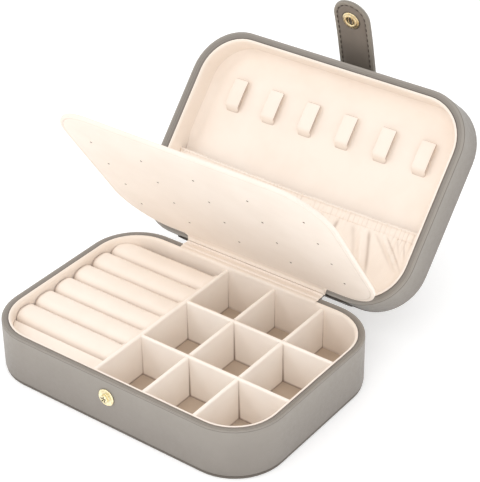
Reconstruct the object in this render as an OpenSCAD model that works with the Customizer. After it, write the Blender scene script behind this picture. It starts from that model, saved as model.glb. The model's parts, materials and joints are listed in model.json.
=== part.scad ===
// Travel jewelry case: a leather-covered base and lid joined by a cloth hinge,
// with a velvet page between them and a snap strap on the front of the lid.
// Origin: centre of the base's underside. +X right, +Y to the hinge, +Z up.
// The case stands open, with the lid leaning back and the page half raised.

/* [Case] */
// Length of the case along the hinge
case_l = 165; // [150:1:185]
// Depth of the case from front to hinge
case_w = 115; // [110:1:125]
// Outer corner radius seen from above
corner_r = 27; // [22:1:30]
// Height of the base up to its rim
base_h = 28; // [26:0.5:34]
// Height of the lid from its rim to its top
lid_h = 19; // [18:0.5:26]
// Thickness of the leather-covered board walls
wall_t = 3.6; // [3:0.1:4.5]
// Thickness of the velvet lining inside the walls
lining_t = 1.5; // [1:0.1:2]
// Thickness of the bottom panel and of the top panel
panel_t = 1.6; // [1.2:0.1:2.5]

/* [Opening] */
// Angle of the lid from closed, as it stands
lid_angle = 131; // [95:1:150]
// Angle of the page above flat, as it stands
page_angle = 56; // [30:1:70]
// Bend of the strap from flat, as it stands
strap_bend = 53; // [20:1:80]
// Gap between the two rims when the case is shut
close_gap = 3.6; // [3.2:0.1:5]

/* [Ring section] */
// Number of velvet ring rolls
roll_count = 6; // [3:1:6]
// Distance between neighbouring rolls
roll_pitch = 14.67; // [12:0.01:14.7]
// Radius of one roll
roll_r = 7.25; // [5:0.05:7.3]
// Distance of the rear roll's centre from the centre of the case
roll_rear_y = 41.7; // [36:0.1:43]
// Height of the rolls' centres
roll_z = 17.5; // [14:0.1:19]

/* [Dividers] */
// Thickness of the velvet-covered divider strips
divider_t = 2.2; // [1.6:0.1:3]
// Distance of the divider tops below the rim
divider_drop = 1.5; // [1:0.1:5]
// Place of the wall between the ring section and the cells
section_x = -12; // [-20:0.5:-5]
// Depth of one cell row from strip centre to strip centre
cell_pitch_y = 36; // [30:0.5:36]

/* [Page] */
// Length of the page along the hinge
page_l = 160; // [140:1:161]
// Depth of the page
page_w = 110; // [95:1:111]
// Corner radius of the page
page_r = 26; // [20:1:30]
// Thickness of the page with both velvet faces
page_t = 2; // [1.6:0.1:2.2]
// Radius of one earring hole
hole_r = 0.6; // [0.5:0.05:0.9]

/* [Strap] */
// Width of the strap
strap_w = 22; // [16:0.5:24]
// Thickness of the strap with its lining
strap_t = 2; // [1.6:0.1:2.4]
// Height of the snap stud above the table
stud_z = 18.4; // [14:0.1:20]
// Outer radius of the snap's stud and socket
snap_r = 5; // [4:0.1:5.5]

/* [Hidden] */
$fn = 96;

leather = [0.62, 0.59, 0.56];
velvet = [0.95, 0.89, 0.82];
velvet_shade = [0.88, 0.80, 0.72];
gold = [0.85, 0.74, 0.5];
steel = [0.7, 0.7, 0.7];

half_l = case_l / 2;
half_w = case_w / 2;
floor_t = 1.4;
bottom_in = 0.4;
floor_z = panel_t + floor_t;
lining_proud = 0.2;
// Gap left where two pieces are pushed together
fit = 0.05;
inset = wall_t + lining_t;
inner_l = case_l - 2 * inset;
inner_w = case_w - 2 * inset;
inner_r = corner_r - inset;
divider_top = base_h - divider_drop;

// Foam bed of the rolls
ledge_z = 22;
roll_gap = 0.3;

// Snap: the stud's flange, raised edge, knob and post, and the parts that take them
flange_t = 0.8;
edge_h = 1.2;
edge_w = 1;
edge_in = 0.4;
knob_r = 2;
knob_h = 2.4;
post_r = 1.5;
post_h = 1;
post_hole_r = 1.6;
washer_r = 4.2;
washer_t = 0.8;
socket_hole_r = 2.3;
strap_hole_r = 2.1;
cap_over = 0.6;
cap_step = 0.4;
cap_crown = 1;

// The lid is drawn shut and then turned about its hinge axis
lid_rim_z = base_h + close_gap;
lid_top_z = lid_rim_z + lid_h;
lid_panel_z = lid_top_z - panel_t;
pad_t = 3;
pad_z = lid_panel_z - pad_t;
lid_axis_y = half_w + 1.4;
lid_axis_z = base_h + 1.3;

// The page is drawn flat between the rims and then turned about its axis
page_x = 1.5;
page_z = base_h + 0.7;
page_axis_y = half_w + 4.5;
page_axis_z = base_h + 1.4;
page_back_y = page_axis_y - 7.2;
page_y = page_back_y - page_w / 2;
velvet_t = 0.5;
board_in = 0.3;
strip_under = 0.2;
strip_end = 3.6;
hole_pitch_x = 31.7;
hole_pitch_y = 21.2;
hole_mid_y = 2.2;

// The strap is drawn flat from its bend axis and then bent and turned
strap_axis_y = half_w + 1.6;
strap_in = 1.2;
strap_axis_z = lid_top_z - strap_in + fit;
strap_lining_t = 0.9;
strap_lining_in = 0.3;
strap_start = 0.1;
tip_past_snap = 12;
snap_s = strap_axis_z - stud_z;
strap_tip = snap_s + tip_past_snap;
anchor_len = 26;

// Hinge: half lengths of the velvet and of the leather, and their glued ends
hinge_half = 43.5;
flap_half = 53;
cloth_t = 0.5;
glued_t = 0.3;
back_t = 0.6;
flap_t = 1;
flap_gap = 0.7;
flap_low_z = 9;
flap_top_drop = 3;
// How far out of the back wall each web starts, and how far beyond the rims it ends
leather_out = 0.4;
velvet_out = 0.25;
web_past = 0.3;

cell_w = (half_l - inset - section_x) / 3;
divider_x = [section_x + cell_w, section_x + 2 * cell_w];
cell_mid_y = 0.6;
divider_y = [cell_mid_y - cell_pitch_y / 2, cell_mid_y + cell_pitch_y / 2];
lap_gap = 0.15;

hook_count = 6;
hook_pitch = 23.6;
hook_w = 8.6;
hook_free_y = -34;
hook_root_y = -15.5;
hook_lift = 3.2;
hook_t = 1.2;
hook_slope = 4;
hook_foot = 2.2;

pocket_y = 12;
elastic_w = 6;
pocket_lift = 4.6;
sheet_t = 0.8;
sheet_clear = 0.4;
elastic_t = 1.6;

// A flat outline with round corners, centred on the origin
module outline(l, w, r) {
  square([l - 2 * r, w], center = true);
  square([l, w - 2 * r], center = true);
  for (sx = [-1, 1])
    for (sy = [-1, 1])
      translate([sx * (l / 2 - r), sy * (w / 2 - r)])
        circle(r);
}

// A plate of the case's outline, drawn in by d on every side
module case_plate(z0, z1, d) {
  translate([0, 0, z0])
    linear_extrude(z1 - z0)
      outline(case_l - 2 * d, case_w - 2 * d, corner_r - d);
}

// A wall of the case's outline, from inset d0 to inset d1
module case_ring(z0, z1, d0, d1) {
  difference() {
    case_plate(z0, z1, d0);
    case_plate(z0 - 1, z1 + 1, d1);
  }
}

// A box between two corners
module block(a, b) {
  translate(a) cube(b - a);
}

// Turns a point at the back about an axis along X, front edge upwards
module raise(y, z, angle) {
  translate([0, y, z])
    rotate([-angle, 0, 0])
      translate([0, -y, -z])
        children();
}

module lid_pose() {
  raise(lid_axis_y, lid_axis_z, lid_angle) children();
}

module page_pose() {
  raise(page_axis_y, page_axis_z, page_angle) children();
}

// Puts the flat strap, drawn from its bend axis along -Y, on the lid
module strap_pose() {
  lid_pose()
    translate([0, -strap_axis_y, strap_axis_z])
      rotate([strap_bend, 0, 0])
        children();
}

// Base

module base_wall() {
  color(leather)
    difference() {
      case_ring(panel_t, base_h, 0, wall_t);
      translate([0, -half_w - 1, stud_z])
        rotate([-90, 0, 0])
          cylinder(h = wall_t + 2, r = post_hole_r);
    }
}

module base_bottom() {
  color(leather) case_plate(0, panel_t, bottom_in);
}

module base_lining() {
  color(velvet)
    difference() {
      case_ring(panel_t, base_h + lining_proud, wall_t, inset);
      translate([0, -half_w + wall_t - 1, stud_z])
        rotate([-90, 0, 0])
          cylinder(h = 1 + washer_t + 2 * fit, r = washer_r + 4 * fit);
    }
}

module base_floor() {
  color(velvet_shade) case_plate(panel_t, floor_z, inset + fit);
}

module ring_room(d) {
  intersection() {
    case_plate(floor_z, base_h, inset + d);
    block([-half_l, -half_w, 0], [section_x - divider_t / 2 - d, half_w, base_h]);
  }
}

// Foam bed of the rolls, with the flat ledge along the front wall
module ring_tray() {
  ledge_y = roll_rear_y - (roll_count - 1) * roll_pitch - roll_r - 2 * fit;
  color(velvet)
    intersection() {
      ring_room(2 * fit);
      union() {
        block([-half_l, -half_w, floor_z], [half_l, half_w, roll_z - roll_r]);
        block([-half_l, -half_w, floor_z], [half_l, ledge_y, ledge_z]);
      }
    }
}

module ring_roll(i) {
  color(velvet)
    intersection() {
      ring_room(roll_gap);
      translate([-half_l, roll_rear_y - (i - 1) * roll_pitch, roll_z])
        rotate([0, 90, 0])
          cylinder(h = case_l, r = roll_r);
    }
}

module section_divider() {
  y = inner_w / 2 - fit;
  color(velvet)
    block([section_x - divider_t / 2, -y, floor_z], [section_x + divider_t / 2, y, divider_top]);
}

// A strip from front to back, slotted from above where the long strips cross it
module divider_y_strip(i) {
  y = inner_w / 2 - fit;
  x = divider_x[i];
  t = divider_t / 2;
  color(velvet)
    difference() {
      block([x - t, -y, floor_z], [x + t, y, divider_top]);
      for (cy = divider_y)
        block([x - t - 1, cy - t - lap_gap, (floor_z + divider_top) / 2 - lap_gap],
              [x + t + 1, cy + t + lap_gap, divider_top + 1]);
    }
}

// A strip from the section wall to the right wall, slotted from below
module divider_x_strip(i) {
  x0 = section_x + divider_t / 2 + fit;
  x1 = half_l - inset - fit;
  y = divider_y[i];
  t = divider_t / 2;
  color(velvet)
    difference() {
      block([x0, y - t, floor_z], [x1, y + t, divider_top]);
      for (cx = divider_x)
        block([cx - t - lap_gap, y - t - 1, floor_z - 1],
              [cx + t + lap_gap, y + t + 1, (floor_z + divider_top) / 2 + lap_gap]);
    }
}

// Round snap stud: flange, raised edge, split knob and the post through the wall
module snap_stud() {
  color(gold)
    translate([0, -half_w, stud_z])
      rotate([90, 0, 0]) {
        cylinder(h = flange_t, r = snap_r);
        difference() {
          cylinder(h = edge_h, r = snap_r - edge_in);
          cylinder(h = edge_h + 1, r = snap_r - edge_in - edge_w);
        }
        cylinder(h = knob_h, r = knob_r);
        translate([0, 0, -wall_t - edge_in]) cylinder(h = wall_t + post_h, r = post_r);
      }
}

module stud_washer() {
  color(steel)
    translate([0, -half_w + wall_t, stud_z])
      rotate([-90, 0, 0])
        difference() {
          cylinder(h = washer_t, r = washer_r);
          translate([0, 0, -1]) cylinder(h = washer_t + 2, r = post_r + fit);
        }
}

// Hinge

module base_hinge_flap() {
  color(leather)
    block([-flap_half, half_w, flap_low_z], [flap_half, half_w + flap_t, base_h - flap_gap]);
}

module base_hinge_velvet() {
  color(velvet)
    block([-hinge_half, half_w - wall_t, base_h + lining_proud],
          [hinge_half, half_w - 2 * fit, base_h + lining_proud + glued_t]);
}

// Thin web between two points of the YZ plane, half as wide as w across X
module web(half, a, b, t) {
  d = b - a;
  translate([-half, a[0], a[1]])
    rotate([atan2(d[1], d[0]), 0, 0])
      translate([0, 0, -t / 2])
        cube([2 * half, norm(d), t]);
}

// Place of a point of the shut lid once the lid is open
function opened(y, z) = [
  lid_axis_y + (y - lid_axis_y) * cos(lid_angle) + (z - lid_axis_z) * sin(lid_angle),
  lid_axis_z - (y - lid_axis_y) * sin(lid_angle) + (z - lid_axis_z) * cos(lid_angle)
];

module hinge_leather() {
  color(leather)
    web(hinge_half, [half_w + leather_out, base_h - web_past],
        opened(half_w + leather_out, lid_rim_z + web_past), back_t);
}

module hinge_velvet() {
  color(velvet)
    web(hinge_half, [half_w + fit, base_h + web_past],
        opened(half_w + velvet_out, lid_rim_z - web_past - fit), cloth_t);
}

module lid_hinge_flap() {
  color(leather)
    lid_pose()
      block([-flap_half, half_w, lid_rim_z + flap_gap],
            [flap_half, half_w + flap_t, lid_top_z - flap_top_drop]);
}

module lid_hinge_velvet() {
  color(velvet)
    lid_pose()
      block([-hinge_half, half_w - wall_t, lid_rim_z - lining_proud - glued_t],
            [hinge_half, half_w - 2 * fit, lid_rim_z - lining_proud]);
}

// Lid, drawn shut

module lid_wall() {
  color(leather) lid_pose() case_ring(lid_rim_z, lid_panel_z, 0, wall_t);
}

module lid_top() {
  color(leather) lid_pose() case_plate(lid_panel_z, lid_top_z, 0);
}

module lid_lining() {
  color(velvet) lid_pose() case_ring(lid_rim_z - lining_proud, pad_z, wall_t, inset);
}

module lid_panel() {
  color(velvet_shade) lid_pose() case_plate(pad_z, lid_panel_z, wall_t + 2 * fit);
}

// A cloth tongue that slants out of the padded panel and ends free
module necklace_hook(i) {
  x = (i - (hook_count + 1) / 2) * hook_pitch;
  face = pad_z - hook_lift;
  back = face + hook_t;
  bend = hook_slope - hook_root_y;
  color(velvet)
    lid_pose()
      translate([x + hook_w / 2, 0, 0])
        rotate([90, 0, -90])
          linear_extrude(hook_w)
            polygon([
              [-hook_root_y, pad_z], [bend, face], [-hook_free_y, face],
              [-hook_free_y, back], [bend + hook_t / 2, back], [-hook_root_y + hook_foot, pad_z]
            ]);
}

// Gathered cloth front of the lid's pocket
module pocket_sheet() {
  run = inner_w / 2 - pocket_y - elastic_w;
  slope = atan2(pocket_lift - sheet_t - sheet_clear, run);
  color(velvet)
    lid_pose()
      intersection() {
        case_plate(lid_rim_z, pad_z, inset + 4 * fit);
        translate([-half_l, pocket_y + elastic_w + 2 * fit, pad_z - pocket_lift])
          rotate([slope, 0, 0])
            cube([case_l, case_w, sheet_t]);
      }
}

module pocket_elastic() {
  x = inner_l / 2 - 4 * fit;
  z = pad_z - pocket_lift;
  color(velvet)
    lid_pose()
      block([-x, pocket_y, z - elastic_t / 2], [x, pocket_y + elastic_w, z + elastic_t / 2]);
}

// Page, drawn flat

module page_layer(z0, z1, d) {
  page_pose()
    translate([page_x, page_y, z0])
      difference() {
        linear_extrude(z1 - z0)
          outline(page_l - 2 * d, page_w - 2 * d, page_r - d);
        for (ix = [-2:2])
          for (iy = [-1.5:1.5])
            translate([ix * hole_pitch_x, iy * hole_pitch_y + hole_mid_y - page_y, -1])
              cylinder(h = page_t + 2, r = hole_r, $fn = 24);
      }
}

module page_front_velvet() {
  color(velvet) page_layer(page_z, page_z + velvet_t, 0);
}

module page_board() {
  color(velvet_shade) page_layer(page_z + velvet_t, page_z + page_t - velvet_t, board_in);
}

module page_back_velvet() {
  color(velvet) page_layer(page_z + page_t - velvet_t, page_z + page_t, 0);
}

module page_hinge_strip() {
  color(velvet)
    page_pose()
      block([-hinge_half, page_back_y + 2 * fit, page_axis_z - strip_under],
            [hinge_half, page_axis_y - strip_end, page_axis_z - strip_under + cloth_t]);
}

// Strap

module strap_anchor() {
  color(leather)
    lid_pose()
      block([-strap_w / 2, fit - strap_axis_y, lid_top_z + fit],
            [strap_w / 2, anchor_len - strap_axis_y, lid_top_z + fit + strap_t]);
}

// Bend of the strap over the lid's edge, an arc about the strap's axis
module strap_fold() {
  color(leather)
    lid_pose()
      translate([0, -strap_axis_y, strap_axis_z])
        rotate(180, [1, 0, 1])
          rotate_extrude(angle = strap_bend)
            translate([strap_in, -strap_w / 2])
              square([strap_t, strap_w]);
}

module strap_layer(z0, z1, d) {
  r = strap_w / 2 - d;
  end = strap_tip - d;
  translate([0, 0, z0])
    linear_extrude(z1 - z0)
      difference() {
        union() {
          translate([-r, -(end - r)]) square([2 * r, end - r - strap_start]);
          translate([0, -(end - r)]) circle(r);
        }
        translate([0, -snap_s]) circle(strap_hole_r);
      }
}

module strap_outer() {
  color(leather)
    strap_pose() strap_layer(strap_in + strap_lining_t, strap_in + strap_t, 0);
}

module strap_lining() {
  color(leather)
    strap_pose() strap_layer(strap_in, strap_in + strap_lining_t, strap_lining_in);
}

// Ring on the strap's inner face that takes the stud's knob
module snap_socket() {
  color(gold)
    strap_pose()
      translate([0, -snap_s, strap_in])
        mirror([0, 0, 1])
          difference() {
            union() {
              cylinder(h = flange_t - 2 * fit, r = snap_r);
              cylinder(h = edge_h, r = snap_r - edge_w);
            }
            translate([0, 0, -1]) cylinder(h = edge_h + 2, r = socket_hole_r);
          }
}

// Plain domed cap on the strap's outer face, with its post in the strap
module snap_cap() {
  color(gold)
    strap_pose()
      translate([0, -snap_s, strap_in + strap_t]) {
        translate([0, 0, post_h - strap_t]) cylinder(h = strap_t - post_h, r = knob_r);
        cylinder(h = cap_over, r = snap_r + cap_over);
        translate([0, 0, cap_over])
          cylinder(h = cap_over - 2 * fit, r1 = snap_r + cap_step, r2 = snap_r - cap_crown);
      }
}

base_wall();
base_bottom();
base_lining();
base_floor();
ring_tray();
ring_roll(1);  // ring_roll_1
ring_roll(2);  // ring_roll_2
ring_roll(3);  // ring_roll_3
ring_roll(4);  // ring_roll_4
ring_roll(5);  // ring_roll_5
ring_roll(6);  // ring_roll_6
section_divider();
divider_y_strip(0);  // divider_y_left
divider_y_strip(1);  // divider_y_right
divider_x_strip(0);  // divider_x_front
divider_x_strip(1);  // divider_x_rear
snap_stud();
stud_washer();
base_hinge_flap();
base_hinge_velvet();
hinge_leather();
hinge_velvet();
lid_hinge_flap();
lid_hinge_velvet();
lid_wall();
lid_top();
lid_lining();
lid_panel();
necklace_hook(1);  // necklace_hook_1
necklace_hook(2);  // necklace_hook_2
necklace_hook(3);  // necklace_hook_3
necklace_hook(4);  // necklace_hook_4
necklace_hook(5);  // necklace_hook_5
necklace_hook(6);  // necklace_hook_6
pocket_sheet();
pocket_elastic();
page_board();
page_front_velvet();
page_back_velvet();
page_hinge_strip();
strap_anchor();
strap_fold();
strap_outer();
strap_lining();
snap_socket();
snap_cap();
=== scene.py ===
"""Looks of the travel jewelry case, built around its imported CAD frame.

Shapes are worked out in millimetres in the pose in which each part is flat or shut, and
piece() then scales them to metres and turns them to the pose in which the case stands.
"""
import json
import math

import bmesh
import bpy
from mathutils import Matrix, Vector, noise


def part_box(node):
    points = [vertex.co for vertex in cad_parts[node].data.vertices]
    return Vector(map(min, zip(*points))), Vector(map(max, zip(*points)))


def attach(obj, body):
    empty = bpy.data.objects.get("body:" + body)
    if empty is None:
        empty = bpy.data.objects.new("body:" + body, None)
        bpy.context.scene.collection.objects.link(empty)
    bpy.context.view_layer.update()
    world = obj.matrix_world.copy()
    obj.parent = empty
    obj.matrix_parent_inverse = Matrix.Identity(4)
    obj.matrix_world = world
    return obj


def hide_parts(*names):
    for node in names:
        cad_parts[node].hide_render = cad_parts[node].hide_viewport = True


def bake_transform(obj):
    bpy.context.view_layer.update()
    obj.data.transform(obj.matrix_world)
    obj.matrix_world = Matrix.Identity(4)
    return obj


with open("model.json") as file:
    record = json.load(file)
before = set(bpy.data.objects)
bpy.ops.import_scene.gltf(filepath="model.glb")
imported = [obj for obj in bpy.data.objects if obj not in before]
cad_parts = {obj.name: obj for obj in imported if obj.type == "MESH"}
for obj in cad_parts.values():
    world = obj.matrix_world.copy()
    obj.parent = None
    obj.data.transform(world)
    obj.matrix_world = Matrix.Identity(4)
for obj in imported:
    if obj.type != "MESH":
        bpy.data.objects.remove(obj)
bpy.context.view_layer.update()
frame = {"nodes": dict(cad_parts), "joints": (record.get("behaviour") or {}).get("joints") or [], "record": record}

MM = 0.001

# ---------------------------------------------------------------- poses and CAD sizes

nodes = frame["nodes"]
joints = {joint["name"]: joint for joint in frame["joints"]}
couplings = {c["joint"]: c for c in frame["record"]["behaviour"]["couplings"]}


def turn(name, degrees):
    """Matrix that turns a body about a joint's axis at rest."""
    place = Matrix.Translation(Vector(joints[name]["pos_m"]))
    spin = Matrix.Rotation(math.radians(degrees), 4, Vector(joints[name]["axis"]))
    return place @ spin @ place.inverted()


lid_open = -joints["lid_hinge"]["range_deg"][0]
page_open = lid_open * couplings["page_hinge"]["ratio"]
strap_open = -joints["strap_bend"]["range_deg"][0]

# Each matrix takes a point of the shut lid, the flat page or the flat strap to rest
BASE = Matrix.Identity(4)
LID = turn("lid_hinge", lid_open)
PAGE = turn("page_hinge", page_open)
bend_axis = LID.inverted() @ Vector(joints["strap_bend"]["pos_m"]) / MM


def box_in(node, pose=BASE):
    """Lowest and highest corner of a CAD node in millimetres, before pose turns it."""
    back = pose.inverted()
    points = [back @ v.co / MM for v in nodes[node].data.vertices]
    low = Vector([min(p[i] for p in points) for i in range(3)])
    high = Vector([max(p[i] for p in points) for i in range(3)])
    return low, high


def mid_of(node, axis, pose=BASE):
    low, high = box_in(node, pose)
    return (low[axis] + high[axis]) / 2


half_l, half_w, rim_z = box_in("base_wall")[1]
bottom_t = box_in("base_wall")[0].z
wall_t = half_l - box_in("base_lining")[1].x
inset = half_l - box_in("base_floor")[1].x
floor_z = box_in("base_floor")[1].z
lining_top = box_in("base_lining")[1].z
straight_x = max(v.co.x for v in nodes["base_wall"].data.vertices if v.co.y > half_w * MM - 1e-6)
corner_r = half_l - straight_x / MM

lid_rim = box_in("lid_wall", LID)[0].z
lid_back = box_in("lid_wall", LID)[1].z
lid_edge = box_in("lid_lining", LID)[0].z
pad_z = box_in("lid_panel", LID)[0].z

# ---------------------------------------------------------------- colours and materials


def rgb(red, green, blue):
    """Linear colour from 0 to 255 screen values."""
    def linear(c):
        c = c / 255
        return c / 12.92 if c <= 0.04045 else ((c + 0.055) / 1.055) ** 2.4

    return (linear(red), linear(green), linear(blue), 1.0)


class Nodes:
    """Short calls for building a material's node tree."""

    def __init__(self, name):
        self.material = bpy.data.materials.new(name)
        self.material.use_nodes = True
        self.tree = self.material.node_tree
        self.tree.nodes.clear()
        self.place = self.add("ShaderNodeTexCoord").outputs["Object"]

    def add(self, kind, **values):
        node = self.tree.nodes.new(kind)
        for key, value in values.items():
            setattr(node, key, value)
        return node

    def link(self, out, socket):
        self.tree.links.new(out, socket)

    def noise(self, scale, detail=2.0, rough=0.5):
        node = self.add("ShaderNodeTexNoise")
        node.inputs["Scale"].default_value = scale
        node.inputs["Detail"].default_value = detail
        node.inputs["Roughness"].default_value = rough
        self.link(self.place, node.inputs["Vector"])
        return node.outputs["Fac"]

    def cells(self, scale):
        node = self.add("ShaderNodeTexVoronoi", feature="DISTANCE_TO_EDGE")
        node.inputs["Scale"].default_value = scale
        self.link(self.place, node.inputs["Vector"])
        return node.outputs["Distance"]

    def span(self, value, low, high, start=0.3, end=0.7):
        """value, mapped from start..end to low..high."""
        node = self.add("ShaderNodeMapRange")
        self.link(value, node.inputs["Value"])
        limits = {"From Min": start, "From Max": end, "To Min": low, "To Max": high}
        for key, number in limits.items():
            node.inputs[key].default_value = number
        return node.outputs["Result"]

    def marked(self, name, most):
        """A point attribute of the mesh, as a share from 0 to most."""
        value = self.add("ShaderNodeAttribute", attribute_name=name).outputs["Fac"]
        return self.span(value, 0.0, most, 0.0, 1.0)

    def ramp(self, value, *stops):
        """Colour from value through stops of (place, colour)."""
        node = self.add("ShaderNodeValToRGB")
        self.link(value, node.inputs["Fac"])
        marks = node.color_ramp.elements
        while len(marks) < len(stops):
            marks.new(0.5)
        for mark, (place, colour) in zip(marks, stops):
            mark.position = place
            mark.color = colour
        return node.outputs["Color"]

    def mix(self, share, first, second):
        """first with share of second; each is a colour or an output."""
        node = self.add("ShaderNodeMix", data_type="RGBA")
        for value, i in ((share, 0), (first, 6), (second, 7)):
            socket = node.inputs[i]
            if isinstance(value, (tuple, float, int)):
                socket.default_value = value
            else:
                self.link(value, socket)
        return node.outputs[2]

    def bump(self, height, distance, strength, normal=None):
        node = self.add("ShaderNodeBump")
        node.inputs["Distance"].default_value = distance
        node.inputs["Strength"].default_value = strength
        self.link(height, node.inputs["Height"])
        if normal is not None:
            self.link(normal, node.inputs["Normal"])
        return node.outputs["Normal"]

    def finish(self, colour, rough, normal, **values):
        """Principled shader: outputs are linked, and numbers are set on its sockets."""
        shader = self.add("ShaderNodeBsdfPrincipled")
        self.link(colour, shader.inputs["Base Color"])
        self.link(rough, shader.inputs["Roughness"])
        self.link(normal, shader.inputs["Normal"])
        for key, value in values.items():
            shader.inputs[key.replace("_", " ")].default_value = value
        out = self.add("ShaderNodeOutputMaterial")
        self.link(shader.outputs["BSDF"], out.inputs["Surface"])
        return self.material


def leather(name, colour, dark, light):
    """Fine-grained coated leather: pebbled cells, soft mottling, painted shade in creases and recesses, and
    painted highlight mixed with wear on rubbed edges.
    """
    n = Nodes(name)
    grain = n.span(n.cells(1500), 0.0, 1.0, 0.0, 0.25)
    mottle = n.ramp(n.noise(70, 3), (0.3, dark), (0.7, colour))
    pores = n.mix(n.span(n.cells(1500), 0.25, 0.0, 0.0, 0.12), mottle, dark)
    # Painted shade: darkens the leather where the mesh marks creases, recesses and shaded places.
    painted_shaded = n.mix(n.marked("painted_shade", 0.85), pores, rgb(74, 64, 53))
    # Painted highlight, partly wear: lightens the leather where the mesh marks edges and the rim.
    wear_and_highlight = n.mix(n.marked("wear_and_highlight", 0.55), painted_shaded, light)
    coarse = n.bump(n.noise(240), 0.00012, 0.5)
    fine = n.bump(grain, 0.00006, 0.45, coarse)
    shine = n.span(n.noise(420), 0.42, 0.56)
    gloss = {"Specular_IOR_Level": 0.42, "Coat_Weight": 0.08, "Coat_Roughness": 0.35}
    return n.finish(wear_and_highlight, shine, fine, **gloss)


def velvet(name, colour, shade):
    """Short-pile velvet: fine pile bump, brushed light and dark patches, painted shade where the mesh marks it,
    and sheen.
    """
    n = Nodes(name)
    brushed = n.ramp(n.noise(38, 3, 0.6), (0.3, shade), (0.62, colour))
    flecks = n.mix(n.span(n.noise(3200, 1), 0.0, 0.22), brushed, shade)
    # Painted shade: darkens the velvet to a pink-brown where the mesh marks folds, corners and shaded places.
    painted_shaded = n.mix(n.marked("painted_shade", 0.85), flecks, rgb(132, 98, 78))
    soft = n.bump(n.noise(160), 0.00022, 0.35)
    pile = n.bump(n.noise(2600, 2, 0.7), 0.00009, 0.8, soft)
    rough = n.span(n.noise(300, 1), 0.86, 0.98)
    return n.finish(
        painted_shaded, rough, pile, Sheen_Weight=0.28, Sheen_Roughness=0.45,
        Sheen_Tint=(1.0, 0.95, 0.9, 1.0), Specular_IOR_Level=0.12,
    )


def brass(name, colour, dark):
    """Plated brass with fine scratches, and painted shade in its recesses."""
    n = Nodes(name)
    tint = n.ramp(n.noise(700, 3), (0.35, dark), (0.6, colour))
    # Painted shade: recesses marked on the mesh go nearly black.
    painted_shade_black = tuple(0.2 * c for c in dark)
    painted_shaded = n.mix(n.marked("painted_shade", 0.9), tint, painted_shade_black)
    rough = n.span(n.noise(1400), 0.16, 0.34)
    scratch = n.bump(n.noise(5200), 0.00002, 0.25)
    return n.finish(painted_shaded, rough, scratch, Metallic=1.0)


def plain(name, colour, shade, rough, metallic=0.0):
    """Board, thread, washer or floor: a small mottle and a fine tooth."""
    n = Nodes(name)
    tint = n.ramp(n.noise(900), (0.35, shade), (0.65, colour))
    tooth = n.bump(n.noise(2400), 0.00004, 0.4)
    shine = n.span(n.noise(600, 1), rough - 0.05, rough + 0.05)
    return n.finish(tint, shine, tooth, Metallic=metallic)


case_leather = leather("case_leather", rgb(137, 130, 123), rgb(132, 125, 118), rgb(190, 184, 174))
strap_leather = leather(
    "strap_leather", rgb(130, 121, 112), rgb(123, 114, 105), rgb(166, 161, 150)
)
cream_velvet = velvet("cream_velvet", rgb(250, 239, 228), rgb(245, 233, 221))
# A darker copy of the cream velvet, painted shade for the floors of the cells.
floor_velvet_painted_shade = velvet("floor_velvet_painted_shade", rgb(208, 190, 172), rgb(190, 172, 154))
# A lighter copy of the cream velvet, painted light for the divider walls that stand in shade.
cell_velvet_painted_light = velvet("cell_velvet_painted_light", rgb(255, 247, 238), rgb(251, 241, 231))
pad_velvet = velvet("pad_velvet", rgb(250, 239, 228), rgb(246, 233, 221))
brass_plate = brass("brass_plate", rgb(248, 234, 196), rgb(232, 210, 160))
pale_brass = brass("pale_brass", rgb(252, 243, 208), rgb(230, 214, 168))
# Painted shade: a dark brown for the slits of the press stud and the pit of the socket.
painted_shade_dark = plain("snap_well_painted_shade", rgb(58, 44, 30), rgb(40, 30, 20), 0.6)
# Painted shade on the walls of the earring holes.
hole_painted_shade = plain("hole_wall_painted_shade", rgb(118, 100, 86), rgb(100, 84, 70), 0.9)
thread = plain("taupe_thread", rgb(84, 76, 67), rgb(70, 62, 54), 0.75)
board = plain("grey_board", rgb(205, 196, 182), rgb(190, 180, 166), 0.85)
washer_steel = plain("washer_steel", rgb(190, 190, 188), rgb(170, 170, 168), 0.35, 1.0)

# ---------------------------------------------------------------- mesh helpers


def piece(name, shape, material, pose=BASE, marks=None, sharp=42):
    """Object from vertices and faces in millimetres, turned to its pose.

    marks are numbers for each vertex, and edges over sharp degrees stay sharp.
    """
    verts, faces = shape
    mesh = bpy.data.meshes.new(name)
    mesh.from_pydata([pose @ (Vector(v) * MM) for v in verts], [], faces)
    work = bmesh.new()
    work.from_mesh(mesh)
    bmesh.ops.recalc_face_normals(work, faces=work.faces)
    work.to_mesh(mesh)
    work.free()
    mesh.polygons.foreach_set("use_smooth", [True] * len(mesh.polygons))
    mesh.set_sharp_from_angle(angle=math.radians(sharp))
    mesh.materials.append(material)
    made = bpy.data.objects.new(name, mesh)
    bpy.context.scene.collection.objects.link(made)
    for key, values in (marks or {}).items():
        paint(made, values, key)
    return made


def paint(made, values, name="painted_shade"):
    """Gives each vertex of a piece a number, which its material reads."""
    made.data.attributes.new(name, "FLOAT", "POINT").data.foreach_set("value", values)


def joined(*shapes):
    """Several shapes as one list of vertices and one of faces."""
    verts, faces = [], []
    for more_verts, more_faces in shapes:
        first = len(verts)
        verts.extend(more_verts)
        faces.extend(tuple(first + i for i in face) for face in more_faces)
    return verts, faces


def place(made, body, slot, *stands_for):
    """Rides a finished piece on its body, and hides the CAD parts it stands for."""
    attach(made, body)
    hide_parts(*stands_for)
    return made


def ease(t):
    """Smooth step from 0 to 1."""
    t = min(max(t, 0.0), 1.0)
    return t * t * (3 - 2 * t)


def ripple(x, y, z=0.0, size=10.0):
    """Repeatable noise from -1 to 1 that changes over size millimetres."""
    return noise.noise(Vector((x, y, z)) / size)


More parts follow.
